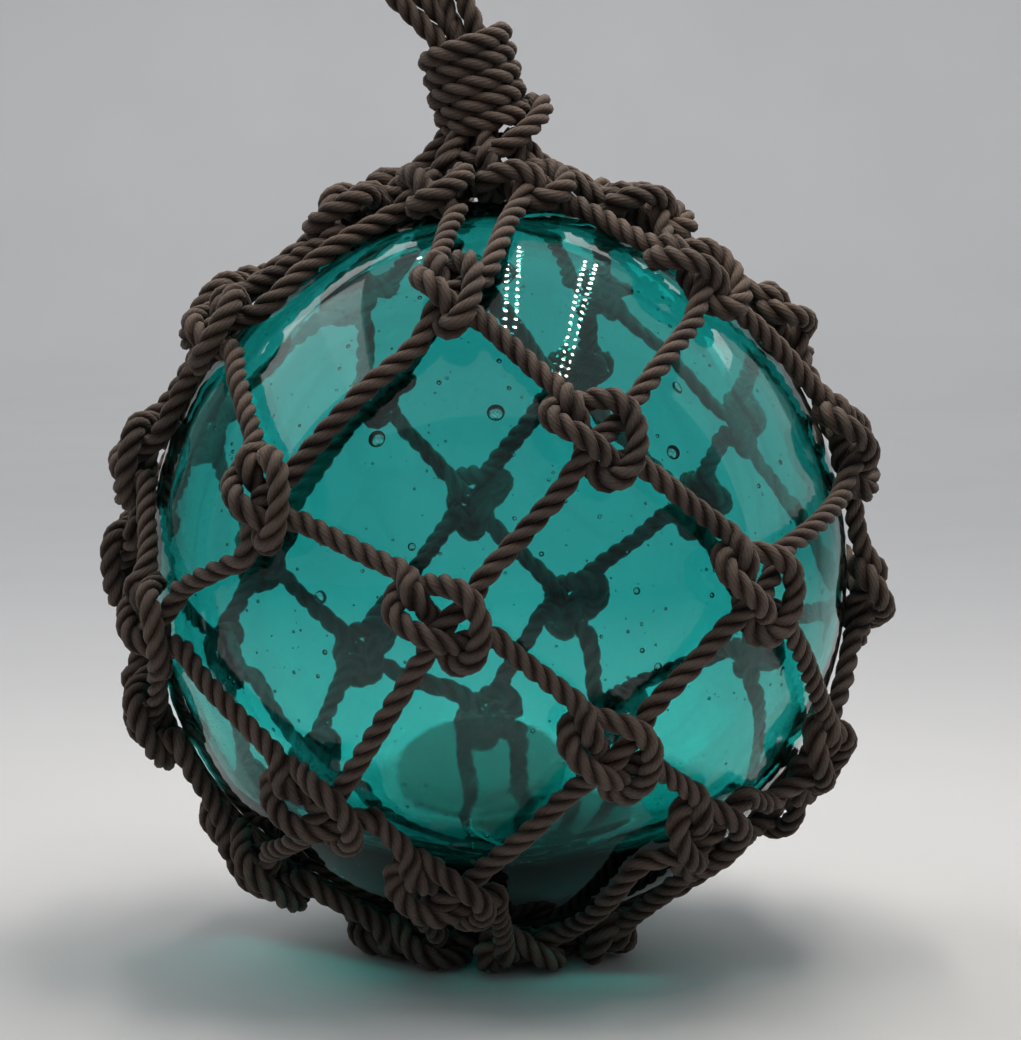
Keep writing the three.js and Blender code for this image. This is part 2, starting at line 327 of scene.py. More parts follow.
def add_node(tree, kind, inputs=None, **settings):
    node = tree.nodes.new(kind)
    for name, value in settings.items():
        setattr(node, name, value)
    for key, value in (inputs or {}).items():
        socket = node.inputs[key]
        if isinstance(value, bpy.types.NodeSocket):
            tree.links.new(value, socket)
        else:
            socket.default_value = value
    return node


def new_material(name):
    material = bpy.data.materials.new(name)
    material.use_nodes = True
    material.node_tree.nodes.clear()
    return material, material.node_tree


# %% [markdown]
# Soda-lime glass coloured teal in the melt. The colour lies in the depth of the glass,
# so the wall darkens where one looks along it near the outline: an absorbing volume does
# that. The surface itself is colourless and fire-polished, so it is nearly mirror smooth
# and only a little uneven from blowing. The seal buttons look duller and darker, so the
# inner wall carries an attribute, "button", that dulls and darkens the glass there. The
# same attribute also puts painted shade on the inner wall at the back of the heel: a dark
# tint that stands in for the shadowed floor seen through the bottom. The see-through value
# stays plain on the shader.

# %% Blown teal soda-lime glass
GLASS_IOR = 1.5
glass, tree = new_material("blown_teal_soda_lime_glass")
coords = add_node(tree, "ShaderNodeTexCoord")
scuffs = add_node(tree, "ShaderNodeTexNoise", {
    "Vector": coords.outputs["Object"], "Scale": 90.0, "Detail": 3.0})
scuff_bump = add_node(tree, "ShaderNodeBump", {
    "Height": scuffs.outputs["Fac"], "Strength": 0.03, "Distance": 0.3 * MM})
# The "button" attribute dulls the seal buttons and also carries the painted shade on the
# heel behind.
button = add_node(tree, "ShaderNodeAttribute", attribute_name="button")
dulling_and_heel_shade_share = add_node(tree, "ShaderNodeMapRange", {
    "Value": button.outputs["Fac"], "From Min": 0.3, "From Max": 0.7,
    "To Min": 0.0, "To Max": 1.0})
dull_buttons_and_heel_shade = add_node(tree, "ShaderNodeMix", {
    "Factor": dulling_and_heel_shade_share.outputs["Result"], 6: (1, 1, 1, 1), 7: linear("#5f7370")},
    data_type="RGBA")
skin_roughness = add_node(tree, "ShaderNodeMapRange", {
    "Value": dulling_and_heel_shade_share.outputs["Result"], "From Min": 0.8, "To Min": 0.02, "To Max": 0.2})
surface = add_node(tree, "ShaderNodeBsdfPrincipled", {
    "Base Color": dull_buttons_and_heel_shade.outputs[2], "Roughness": skin_roughness.outputs["Result"],
    "IOR": GLASS_IOR, "Transmission Weight": 1.0,
    "Normal": scuff_bump.outputs["Normal"]})
depth = add_node(tree, "ShaderNodeVolumeAbsorption", {
    "Color": linear("#2bedea"), "Density": 400.0})
add_node(tree, "ShaderNodeOutputMaterial", {
    "Surface": surface.outputs["BSDF"], "Volume": depth.outputs["Volume"]})
print("glass:", glass.name)

# %% [markdown]
# The rope is three-strand laid hemp, dyed brown and matt. Fine yarns run round each strand
# against its twist. The rope tree leaves two attributes on the strands. "strand_place" says
# where the surface is: its turn about the strand, as a cosine and sine, and its distance
# along the strand, in metres. "crown" is the distance from the middle of the rope, as a
# share of its diameter: it darkens the grooves with painted shade, and dust greys the
# crowns.

# %% Brown laid rope
YARNS_ROUND = 9
YARN_TWIST = 3.3 / MM
rope, tree = new_material("brown_three_strand_hemp_rope")
place = add_node(tree, "ShaderNodeAttribute", attribute_name="strand_place")
split = add_node(tree, "ShaderNodeSeparateXYZ", {"Vector": place.outputs["Vector"]})
turn = add_node(tree, "ShaderNodeMath", {0: split.outputs["Y"], 1: split.outputs["X"]},
                operation="ARCTAN2")
turns = add_node(tree, "ShaderNodeMath", {0: turn.outputs[0], 1: float(YARNS_ROUND)},
                 operation="MULTIPLY")
phase = add_node(tree, "ShaderNodeMath", {
    0: split.outputs["Z"], 1: YARN_TWIST, 2: turns.outputs[0]}, operation="MULTIPLY_ADD")
yarn = add_node(tree, "ShaderNodeMath", {0: phase.outputs[0]}, operation="SINE")
coords = add_node(tree, "ShaderNodeTexCoord")
blotches = add_node(tree, "ShaderNodeTexNoise", {
    "Vector": coords.outputs["Object"], "Scale": 60.0, "Detail": 4.0})
fibres = add_node(tree, "ShaderNodeTexNoise", {
    "Vector": coords.outputs["Object"], "Scale": 900.0, "Detail": 4.0})
yarn_height = add_node(tree, "ShaderNodeMath", {
    0: yarn.outputs[0], 1: 0.22, 2: fibres.outputs["Fac"]}, operation="MULTIPLY_ADD")
colour = add_node(tree, "ShaderNodeValToRGB", {"Fac": blotches.outputs["Fac"]})
colour.color_ramp.elements[0].position = 0.3
colour.color_ramp.elements[0].color = linear("#2c1f19")
colour.color_ramp.elements[1].position = 0.72
colour.color_ramp.elements[1].color = linear("#56443a")
yarn_shade = add_node(tree, "ShaderNodeMapRange", {
    "Value": yarn_height.outputs[0], "From Min": 0.1, "From Max": 0.9,
    "To Min": 0.8, "To Max": 1.1})
crown = add_node(tree, "ShaderNodeAttribute", attribute_name="crown")
# Painted shade: the colour darkens towards the grooves between the strands.
painted_groove_shade = add_node(tree, "ShaderNodeMapRange", {
    "Value": crown.outputs["Fac"], "From Min": 0.3, "From Max": 0.47,
    "To Min": 0.12, "To Max": 1.08})
dust = add_node(tree, "ShaderNodeMapRange", {
    "Value": crown.outputs["Fac"], "From Min": 0.44, "From Max": 0.51,
    "To Min": 0.0, "To Max": 0.35})
dusty = add_node(tree, "ShaderNodeMix", {
    "Factor": dust.outputs["Result"], 6: colour.outputs["Color"],
    7: linear("#7d736c")}, data_type="RGBA")
# The yarn pattern and the painted groove shade darken the colour together.
both = add_node(tree, "ShaderNodeMath", {
    0: yarn_shade.outputs["Result"], 1: painted_groove_shade.outputs["Result"]}, operation="MULTIPLY")
shaded = add_node(tree, "ShaderNodeVectorMath", {
    0: dusty.outputs[2], 1: both.outputs[0]}, operation="MULTIPLY")
bump = add_node(tree, "ShaderNodeBump", {
    "Height": yarn_height.outputs[0], "Strength": 0.6, "Distance": 0.35 * MM})
surface = add_node(tree, "ShaderNodeBsdfPrincipled", {
    "Base Color": shaded.outputs["Vector"], "Roughness": 0.9, "Specular IOR Level": 0.25,
    "Sheen Weight": 0.08, "Sheen Roughness": 0.5, "Normal": bump.outputs["Normal"]})
add_node(tree, "ShaderNodeOutputMaterial", {"Surface": surface.outputs["BSDF"]})
print("rope:", rope.name)

# %% [markdown]
# Laid rope is a rule: three strands wind round a centreline at one pitch. So a Geometry
# Nodes tree lays it along any path. The path comes in as a chain of edges. Each strand is
# the same curve moved off the centreline by a turning offset, then given a round section.
# Where rope bends sharply its strands open, so each point of the path carries a "fullness"
# that swells the rope there.


# %% Rope-laying tree
def rope_tree():
    tree = bpy.data.node_groups.new("Lay rope along a path", "GeometryNodeTree")
    face = tree.interface
    face.new_socket("Path", in_out="INPUT", socket_type="NodeSocketGeometry")
    for label, value in (("Rope Diameter", ROPE), ("Lay Length", ROPE_LAY),
                         ("Step", 1.5 * MM), ("Unevenness", 0.25 * MM)):
        socket = face.new_socket(label, in_out="INPUT", socket_type="NodeSocketFloat")
        socket.default_value = value
    face.new_socket("Rope", in_out="OUTPUT", socket_type="NodeSocketGeometry")
    given = add_node(tree, "NodeGroupInput")
    fullness = add_node(tree, "GeometryNodeInputNamedAttribute", {"Name": "fullness"},
                        data_type="FLOAT")
    diameter = add_node(tree, "ShaderNodeMath", {
        0: given.outputs["Rope Diameter"], 1: fullness.outputs[0]}, operation="MULTIPLY")
    curve = add_node(tree, "GeometryNodeMeshToCurve", {"Mesh": given.outputs["Path"]})
    even = add_node(tree, "GeometryNodeResampleCurve", {
        "Curve": curve.outputs["Curve"], "Length": given.outputs["Step"]}, mode="LENGTH")
    place = add_node(tree, "GeometryNodeInputPosition")
    wander = add_node(tree, "ShaderNodeTexNoise", {
        "Vector": place.outputs["Position"], "Scale": 45.0, "Detail": 1.0})
    centred = add_node(tree, "ShaderNodeVectorMath", {
        0: wander.outputs["Color"], 1: (0.5, 0.5, 0.5)}, operation="SUBTRACT")
    drift = add_node(tree, "ShaderNodeVectorMath", {
        0: centred.outputs["Vector"], "Scale": given.outputs["Unevenness"]},
        operation="SCALE")
    more = add_node(tree, "ShaderNodeVectorMath", {
        0: drift.outputs["Vector"], "Scale": 4.0}, operation="SCALE")
    loose = add_node(tree, "GeometryNodeSetPosition", {
        "Geometry": even.outputs["Curve"], "Offset": more.outputs["Vector"]})
    parameter = add_node(tree, "GeometryNodeSplineParameter")
    normal = add_node(tree, "GeometryNodeInputNormal")
    tangent = add_node(tree, "GeometryNodeInputTangent")
    side = add_node(tree, "ShaderNodeVectorMath", {
        0: tangent.outputs["Tangent"], 1: normal.outputs["Normal"]},
        operation="CROSS_PRODUCT")
    pitches = add_node(tree, "ShaderNodeMath", {
        0: parameter.outputs["Length"], 1: given.outputs["Lay Length"]},
        operation="DIVIDE")
    offset_radius = add_node(tree, "ShaderNodeMath", {
        0: diameter.outputs[0], 1: 0.262}, operation="MULTIPLY")
    strand_radius = add_node(tree, "ShaderNodeMath", {
        0: diameter.outputs[0], 1: 0.245}, operation="MULTIPLY")
    section = add_node(tree, "GeometryNodeCurvePrimitiveCircle", {
        "Resolution": 8, "Radius": 1.0})
    section_place = add_node(tree, "GeometryNodeSplineParameter")
    section_marked = add_node(tree, "GeometryNodeCaptureAttribute",
                              {"Geometry": section.outputs["Curve"]})
    section_marked.capture_items.new("FLOAT", "round")
    tree.links.new(section_place.outputs["Factor"], section_marked.inputs["round"])
    centre = add_node(tree, "GeometryNodeInputPosition")
    laid = add_node(tree, "GeometryNodeCaptureAttribute",
                    {"Geometry": loose.outputs["Geometry"]})
    laid.capture_items.new("FLOAT", "along")
    laid.capture_items.new("VECTOR", "centre")
    tree.links.new(parameter.outputs["Length"], laid.inputs["along"])
    tree.links.new(centre.outputs["Position"], laid.inputs["centre"])
    strands = []
    for strand in range(3):
        turn = add_node(tree, "ShaderNodeMath", {
            0: pitches.outputs[0], 1: 2 * math.pi, 2: strand * 2 * math.pi / 3},
            operation="MULTIPLY_ADD")
        cosine = add_node(tree, "ShaderNodeMath", {0: turn.outputs[0]}, operation="COSINE")
        sine = add_node(tree, "ShaderNodeMath", {0: turn.outputs[0]}, operation="SINE")
        over = add_node(tree, "ShaderNodeVectorMath", {
            0: normal.outputs["Normal"], "Scale": cosine.outputs[0]}, operation="SCALE")
        across = add_node(tree, "ShaderNodeVectorMath", {
            0: side.outputs["Vector"], "Scale": sine.outputs[0]}, operation="SCALE")
        both = add_node(tree, "ShaderNodeVectorMath", {
            0: over.outputs["Vector"], 1: across.outputs["Vector"]}, operation="ADD")
        offset = add_node(tree, "ShaderNodeVectorMath", {
            0: both.outputs["Vector"], "Scale": offset_radius.outputs[0]},
            operation="SCALE")
        wound = add_node(tree, "GeometryNodeSetPosition", {
            "Geometry": laid.outputs["Geometry"], "Offset": offset.outputs["Vector"]})
        body = add_node(tree, "GeometryNodeCurveToMesh", {
            "Curve": wound.outputs["Geometry"],
            "Profile Curve": section_marked.outputs["Geometry"],
            "Scale": strand_radius.outputs[0], "Fill Caps": True})
        angle = add_node(tree, "ShaderNodeMath", {
            0: section_marked.outputs["round"], 1: 2 * math.pi}, operation="MULTIPLY")
        cos_round = add_node(tree, "ShaderNodeMath", {0: angle.outputs[0]},
                             operation="COSINE")
        sin_round = add_node(tree, "ShaderNodeMath", {0: angle.outputs[0]},
                             operation="SINE")
        where = add_node(tree, "ShaderNodeCombineXYZ", {
            "X": cos_round.outputs[0], "Y": sin_round.outputs[0],
            "Z": laid.outputs["along"]})
        position = add_node(tree, "GeometryNodeInputPosition")
        from_centre = add_node(tree, "ShaderNodeVectorMath", {
            0: position.outputs["Position"], 1: laid.outputs["centre"]},
            operation="DISTANCE")
        crown = add_node(tree, "ShaderNodeMath", {
            0: from_centre.outputs["Value"], 1: diameter.outputs[0]}, operation="DIVIDE")
        stored = add_node(tree, "GeometryNodeStoreNamedAttribute", {
            "Geometry": body.outputs["Mesh"], "Name": "strand_place",
            "Value": where.outputs["Vector"]}, data_type="FLOAT_VECTOR", domain="POINT")
        raised = add_node(tree, "GeometryNodeStoreNamedAttribute", {
            "Geometry": stored.outputs["Geometry"], "Name": "crown",
            "Value": crown.outputs[0]}, data_type="FLOAT", domain="POINT")
        strands.append(raised)
    joined = add_node(tree, "GeometryNodeJoinGeometry")
    for strand in strands:
        tree.links.new(strand.outputs["Geometry"], joined.inputs["Geometry"])
    smooth = add_node(tree, "GeometryNodeSetShadeSmooth", {
        "Geometry": joined.outputs["Geometry"]})
    real = add_node(tree, "GeometryNodeRealizeInstances", {
        "Geometry": smooth.outputs["Geometry"]})
    painted = add_node(tree, "GeometryNodeSetMaterial", {
        "Geometry": real.outputs["Geometry"], "Material": rope})
    add_node(tree, "NodeGroupOutput", {"Rope": painted.outputs["Geometry"]})
    return tree


rope_layer = rope_tree()
print("rope tree:", len(rope_layer.nodes), "nodes")

# %% [markdown]
# Each rope piece is a path given to that tree. The result is turned into a plain mesh and
# the modifier is removed, and then the piece takes the place of its solid in the frame.


# %% Laying rope: from a path to a plain mesh piece
OPENING = 0.22


def link(obj):
    bpy.context.scene.collection.objects.link(obj)
    return obj


def evaluated_mesh(obj):
    graph = bpy.context.evaluated_depsgraph_get()
    return bpy.data.meshes.new_from_object(obj.evaluated_get(graph))


def fullness(path, reach=3):
    """How far the strands open at each point: more where the rope bends sharply."""
    full = []
    for i, point in enumerate(path):
        before = point - path[max(0, i - reach)]
        after = path[min(len(path) - 1, i + reach)] - point
        bend = before.angle(after, 0)
        full.append(0.97 + OPENING * min(1, bend / 1.1))
    return full


def lay_rope(name, paths, **values):
    vertices = []
    edges = []
    full = []
    for path in paths:
        first = len(vertices)
        vertices += path
        full += fullness(path)
        edges += [(first + i, first + i + 1) for i in range(len(path) - 1)]
    route = bpy.data.meshes.new(name + "_route")
    route.from_pydata(vertices, edges, [])
    route.attributes.new("fullness", "FLOAT", "POINT").data.foreach_set("value", full)
    piece = link(bpy.data.objects.new(name, route))
    modifier = piece.modifiers.new("Lay rope", "NODES")
    modifier.node_group = rope_layer
    for item in rope_layer.interface.items_tree:
        if item.name in values:
            modifier[item.identifier] = values[item.name]
    mesh = evaluated_mesh(piece)
    piece.modifiers.clear()
    piece.data = mesh
    print(name, "has", sum(len(p.vertices) - 2 for p in mesh.polygons), "triangles")
    return piece


def dress(piece, slot, *nodes):
    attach(piece, "root")
    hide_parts(*nodes)
    return piece


# %% The net's sixteen cords
for name, path in cord_paths.items():
    lay = CORD_LAY[name.split("_")[0]]
    dress(lay_rope("laid_" + name, [path], **{"Lay Length": lay}), "net_rope", name)

# %% [markdown]
# The serving is one rope wound four and a half times round the neck, tight and a little
# tilted. Its path is a helix whose axis leans left, and a loose bight stands out at its
# foot. Five rope ends fill the middle of the neck, so no gap shows between the turns.

# %% Serving round the neck
SERVING_FOOT = 258.5 * MM
SERVING_PITCH = 5.7 * MM
SERVING_TURNS = 4.5
SERVING_RADIUS = 11.6 * MM
SERVING_TILT = 0.28
SERVING_LEAN = -0.27
STEPS_A_TURN = 24


def serving_axis(height):
    return NECK_SHIFT + SERVING_LEAN * (height - 262 * MM)


def serving_path():
    points = []
    steps = round(SERVING_TURNS * STEPS_A_TURN)
    for i in range(steps + 1):
        turn = 2 * math.pi * i / STEPS_A_TURN + math.radians(200)
        height = SERVING_FOOT + SERVING_PITCH * i / STEPS_A_TURN
        radius = SERVING_RADIUS + 0.7 * MM * noise.noise(Vector((i * 0.13, 0.4, 0)))
        x = radius * math.cos(turn)
        y = radius * math.sin(turn)
        tilt = SERVING_TILT * x * min(1, (i + 8) / STEPS_A_TURN)
        points.append(Vector((serving_axis(height) + x, y, height + tilt)))
    return points


BIGHT = [(-12, -10, 247), (-5, -14.5, 249), (2, -15.5, 252), (8, -13.5, 256),
         (12.5, -8, 260.5), (14.2, -2, 264), (12.5, 3, 265.5), (9, 3.5, 264), (5, 0, 261)]
bight_path = smooth_path([Vector(p) * MM for p in BIGHT])
core_paths = []
CORE_ROPES = 5
for turn in range(CORE_ROPES):
    out = direction(360 / CORE_ROPES * turn, 0) * 5.2 * MM
    foot = Vector((NECK_SHIFT, 0, 237 * MM)) + out
    top = Vector((serving_axis(284 * MM), 0, 284 * MM)) + out * 0.7
    core_paths.append(smooth_path([foot, foot.lerp(top, 0.5), top]))
serving = lay_rope("laid_rope_serving",
                   [smooth_path(serving_path()), bight_path] + core_paths)
dress(serving, "net_rope", "rope_serving")

# %% [markdown]
# The hanging loop is two turns of rope side by side. They leave the serving at a slant
# and are finished above the photograph's edge as a plain teardrop eye.

# %% Hanging loop
LOOP_ROUTE = [(-9, 262), (-11, 277), (-17, 288), (-28, 299), (-42, 312), (-51, 328),
              (-50.5, 344), (-41, 356), (-28, 359), (-19, 351), (-15.5, 337), (-15.5, 318),
              (-14.5, 300), (-10.5, 289), (-7, 277), (-5.5, 262)]


def loop_strand(aside, forward):
    centre = smooth_path([Vector((x * MM, 0, z * MM)) for x, z in LOOP_ROUTE], 6 * MM)
    points = []
    for i, point in enumerate(centre):
        along = (centre[min(i + 1, len(centre) - 1)] - centre[max(i - 1, 0)]).normalized()
        outward = Vector((-along.z, 0, along.x))
        wave = 0.5 * MM * math.sin(i * 0.7 + aside)
        shift = outward * (aside * MM + wave) + Vector((0, forward * MM, 0))
        points.append(point + shift)
    return smooth_path(points)


loop = lay_rope("laid_hanging_loop", [loop_strand(3.1, -0.8), loop_strand(-3.1, 0.8)])
dress(loop, "net_rope", "hanging_loop")

# %% [markdown]
# Under the ball the rope ends are gathered into one flat knot: a short coil of rope
# pressed flat by the weight above it.

# %% Gather under the ball
def gather_path():
    points = []
    for i in range(50):
        turn = 2 * math.pi * i / 16
        radius = (2.6 + 6.4 * i / 49) * MM
        points.append(Vector((radius * math.cos(turn), radius * math.sin(turn), 4.4 * MM)))
    return points


gather = lay_rope("laid_gather_knot", [smooth_path(gather_path())],
                  **{"Unevenness": 0.1 * MM})
dress(gather, "net_rope", "gather_knot")


# %% [markdown]
# The ball is blown, so it is a shell: an outer wall and an inner wall about 4.4 mm inside
# it, both a little uneven. Glass sagged down while it was soft, so the wall thickens to a
# heel at the bottom, and two flat buttons low at the back are where the hole was sealed.
# Both walls are grids of longitude and latitude closed at the poles. The inner one faces
# inwards, so that the glass lies between them.

# %% Walls of the glass ball
AROUND = 192
STACKS = 128
HEEL = 6 * MM
HEEL_START = -34
HEEL_SPREAD = 42
# Painted shade on the heel at the back of the inner wall: how dark it gets, and the latitude
# where it starts and how far it spreads.
HEEL_SHADE = 0.58
HEEL_SHADE_START = -36
HEEL_SHADE_SPREAD = 10
FULL_BUTTON = 2.5 * MM
SEAL_BUTTONS = [  # longitude, latitude, half width, half height, thickness in mm
    (185, -49, 32, 28, 3.0),
    (152, -66, 34, 28, 2.6),
]


def button_thickness(way):
    thickness = 0
    for lon, lat, half_width, half_height, thick in SEAL_BUTTONS:
        middle = direction(lon, lat)
        east = direction(lon + 90, 0)
        north = middle.cross(east)
        if way.dot(middle) <= 0:
            continue
        across = way.dot(east) * BALL_RADIUS / MM / half_width
        up = way.dot(north) * BALL_RADIUS / MM / half_height
        reach = math.hypot(across, up)
        thickness += thick * MM * (1 - min(1, max(0, (reach - 0.86) / 0.2))) ** 2
    return thickness


def heel_share(way, start, spread):
    """Nought above the starting latitude, then rising smoothly to one below it."""
    latitude = math.degrees(math.asin(way.z))
    share = min(1, max(0, (start - latitude) / spread))
    return share * share * (3 - 2 * share)


def button_dulling_and_heel_shade(way):
    """How dull and dark the inner wall is: dulled on the buttons, and painted shade behind
    on the heel.
    """
    button = min(1, button_thickness(way) / FULL_BUTTON)
    behind = min(1, max(0, (way.y + 0.1) / 0.3))
    return behind * max(button, HEEL_SHADE * heel_share(way, HEEL_SHADE_START, HEEL_SHADE_SPREAD))


def wall_radius(way, inner):
    radius = glass_radius(way)
    if not inner:
        return radius + 0.12 * MM * noise.noise(way * 5)
    uneven = 0.3 * MM * noise.noise(way * 2.6 + Vector((7, 0, 0)))
    ripple = 0.03 * MM * noise.noise(way * 14)
    heel = HEEL * heel_share(way, HEEL_START, HEEL_SPREAD)
    return radius - WALL + uneven + ripple - button_thickness(way) - heel


def ball_wall(mesh, inner):
    dull_buttons_and_heel_shade = mesh.verts.layers.float["button"]
    rings = []
    for stack in range(1, STACKS):
        latitude = -90 + 180 * stack / STACKS
        ring = []
        for i in range(AROUND):
            way = direction(360 * i / AROUND, latitude)
            point = way * wall_radius(way, inner) + Vector((0, 0, CENTRE_HEIGHT))
            vertex = mesh.verts.new(point)
            # The inner wall stores the dulled buttons and the painted heel shade.
            if inner:
                vertex[dull_buttons_and_heel_shade] = button_dulling_and_heel_shade(way)
            ring.append(vertex)
        rings.append(ring)
    poles = []
    for way in (Vector((0, 0, -1)), Vector((0, 0, 1))):
        point = way * wall_radius(way, inner) + Vector((0, 0, CENTRE_HEIGHT))
        poles.append(mesh.verts.new(point))
    faces = []
    for i in range(AROUND):
        j = (i + 1) % AROUND
        faces.append((poles[0], rings[0][j], rings[0][i]))
        faces.append((poles[1], rings[-1][i], rings[-1][j]))
        for low, high in zip(rings, rings[1:]):
            faces.append((low[i], low[j], high[j], high[i]))
    for face in faces:
        mesh.faces.new(face[::-1] if inner else face)


shell = bmesh.new()
shell.verts.layers.float.new("button")
ball_wall(shell, False)
ball_wall(shell, True)
shell_mesh = bpy.data.meshes.new("glass_walls")
shell.to_mesh(shell_mesh)
shell.free()
shell_mesh.polygons.foreach_set("use_smooth", [True] * len(shell_mesh.polygons))
shell_mesh.materials.append(glass)
ball = link(bpy.data.objects.new("blown_glass_ball", shell_mesh))
print("glass walls:", len(shell_mesh.polygons), "faces")

# %% [markdown]
# Seed bubbles: hundreds of specks of air scattered in the wall, at random with a fixed
# seed. Geometry Nodes scatters points over a surface in the middle of the wall and puts a
# small sphere on each, turned inside out, because air is what it encloses. A few large
# ones are placed one by one and flattened along the wall, as in the ball.


# %% Bubble-scattering tree
def bubble_tree():
    tree = bpy.data.node_groups.new("Scatter seed bubbles", "GeometryNodeTree")
    face = tree.interface
    face.new_socket("Walls", in_out="INPUT", socket_type="NodeSocketGeometry")
    for label, value in (("Density", 6500.0), ("Smallest", 0.24 * MM),
                         ("Largest", 0.85 * MM)):
        socket = face.new_socket(label, in_out="INPUT", socket_type="NodeSocketFloat")
        socket.default_value = value
    seed = face.new_socket("Seed", in_out="INPUT", socket_type="NodeSocketInt")
    seed.default_value = 11
    face.new_socket("Bubbles", in_out="OUTPUT", socket_type="NodeSocketGeometry")
    given = add_node(tree, "NodeGroupInput")
    points = add_node(tree, "GeometryNodeDistributePointsOnFaces", {
        "Mesh": given.outputs["Walls"], "Density": given.outputs["Density"],
        "Seed": given.outputs["Seed"]}, distribute_method="RANDOM")
    bubble = add_node(tree, "GeometryNodeMeshIcoSphere", {
        "Radius": 1.0, "Subdivisions": 2})
    inside_out = add_node(tree, "GeometryNodeFlipFaces", {"Mesh": bubble.outputs["Mesh"]})
    size = add_node(tree, "FunctionNodeRandomValue", {
        2: 0.0, 3: 1.0, "Seed": given.outputs["Seed"]}, data_type="FLOAT")
    rare = add_node(tree, "ShaderNodeMath", {0: size.outputs[1], 1: 3.0},
                    operation="POWER")
    scale = add_node(tree, "ShaderNodeMapRange", {
        "Value": rare.outputs[0], "To Min": given.outputs["Smallest"],
        "To Max": given.outputs["Largest"]})
    placed = add_node(tree, "GeometryNodeInstanceOnPoints", {
        "Points": points.outputs["Points"], "Instance": inside_out.outputs["Mesh"],
        "Rotation": points.outputs["Rotation"], "Scale": scale.outputs["Result"]})
    real = add_node(tree, "GeometryNodeRealizeInstances", {
        "Geometry": placed.outputs["Instances"]})
    smooth = add_node(tree, "GeometryNodeSetShadeSmooth", {
        "Geometry": real.outputs["Geometry"]})
    painted = add_node(tree, "GeometryNodeSetMaterial", {
        "Geometry": smooth.outputs["Geometry"], "Material": glass})
    add_node(tree, "NodeGroupOutput", {"Bubbles": painted.outputs["Geometry"]})
    return tree


# %% Seed bubbles and the few large ones
def middle_surface():
    surface = bmesh.new()
    bmesh.ops.create_icosphere(surface, subdivisions=5, radius=1)
    for vertex in surface.verts:
        way = vertex.co.normalized()
        radius = glass_radius(way) - WALL * 0.5
        vertex.co = way * radius + Vector((0, 0, CENTRE_HEIGHT))
    mesh = bpy.data.meshes.new("middle_of_the_wall")
    surface.to_mesh(mesh)
    surface.free()
    return mesh


scatter = link(bpy.data.objects.new("seed_bubbles", middle_surface()))
modifier = scatter.modifiers.new("Scatter bubbles", "NODES")
modifier.node_group = bubble_tree()
seeds = evaluated_mesh(scatter)
print("seed bubbles:", len(seeds.vertices) // 42)

LARGE_BUBBLES = [(-20.5, 26.5, 2.6), (0, 31, 2.6), (31, 24, 2.2), (-13, 10, 1.2),
                 (26, -9, 1.3), (22, 3, 1.1), (140, 30, 2.2), (215, -10, 2.4),
                 (255, 25, 2.0), (110, -20, 1.8)]


def large_bubbles():
    mesh = bmesh.new()
    for lon, lat, radius in LARGE_BUBBLES:
        way = direction(lon, lat)
        flat = Matrix.Diagonal((1, 1, 0.55, 1))
        turn = way.to_track_quat("Z", "Y").to_matrix().to_4x4()
        place = Matrix.Translation(above_glass(way, -WALL * 0.5))
        made = bmesh.ops.create_icosphere(mesh, subdivisions=3, radius=radius * MM,
                                          matrix=place @ turn @ flat)
        faces = {face for vertex in made["verts"] for face in vertex.link_faces}
        bmesh.ops.reverse_faces(mesh, faces=list(faces))
    return mesh


# %% Walls and bubbles as one piece of glass
whole = large_bubbles()
whole.from_mesh(seeds)
whole.from_mesh(shell_mesh)
for face in whole.faces:
    face.smooth = True
whole.to_mesh(shell_mesh)
whole.free()
bpy.data.objects.remove(scatter)
dress(ball, "teal_glass", "glass_ball")
print("glass ball:", sum(len(p.vertices) - 2 for p in shell_mesh.polygons), "triangles")

# %% [markdown]
# The stage is a wide pale floor that sweeps up far behind the float. It is lit softly from
# above, from both sides and from behind. Three lines of small bright lamps overhead draw
# the dotted streaks that shine in the top of the glass. Light that the glass would throw
# on the floor is slow to find by path tracing, so two faint teal lights stand in for it.

# %% Floor that sweeps up into a backdrop
paper, tree = new_material("pale_matt_paper")
coords = add_node(tree, "ShaderNodeTexCoord")
mottle = add_node(tree, "ShaderNodeTexNoise", {
    "Vector": coords.outputs["Object"], "Scale": 8.0, "Detail": 2.0})
tone = add_node(tree, "ShaderNodeValToRGB", {"Fac": mottle.outputs["Fac"]})
tone.color_ramp.elements[0].color = linear("#c6c6c8")
tone.color_ramp.elements[1].color = linear("#cdcdcf")
surface = add_node(tree, "ShaderNodeBsdfPrincipled", {
    "Base Color": tone.outputs["Color"], "Roughness": 0.6})
add_node(tree, "ShaderNodeOutputMaterial", {"Surface": surface.outputs["BSDF"]})

outline = [(-9.0, 0.0), (2.5, 0.0)]
outline += [(2.5 + 0.6 * math.sin(a * math.pi / 24), 0.6 - 0.6 * math.cos(a * math.pi / 24))
            for a in range(1, 13)]
outline += [(3.1, 3.2)]
vertices = [(x, y, z) for y, z in outline for x in (-9.0, 9.0)]
faces = [(2 * i, 2 * i + 1, 2 * i + 3, 2 * i + 2) for i in range(len(outline) - 1)]
sweep_mesh = bpy.data.meshes.new("paper_sweep")
sweep_mesh.from_pydata(vertices, [], faces)
sweep_mesh.materials.append(paper)
sweep_mesh.polygons.foreach_set("use_smooth", [True] * len(sweep_mesh.polygons))
sweep = link(bpy.data.objects.new("paper_sweep", sweep_mesh))


# %% Soft lights
def soft_light(name, place, target, size, watts, colour="#ffffff"):
    data = bpy.data.lights.new(name, "AREA")
    data.shape = "RECTANGLE"
    data.size, data.size_y = size
    data.energy = watts
    data.color = linear(colour)[:3]
    light = link(bpy.data.objects.new(name, data))
    light.location = place
    aim = Vector(target) - Vector(place)
    light.rotation_euler = aim.to_track_quat("-Z", "Y").to_euler()
    return light


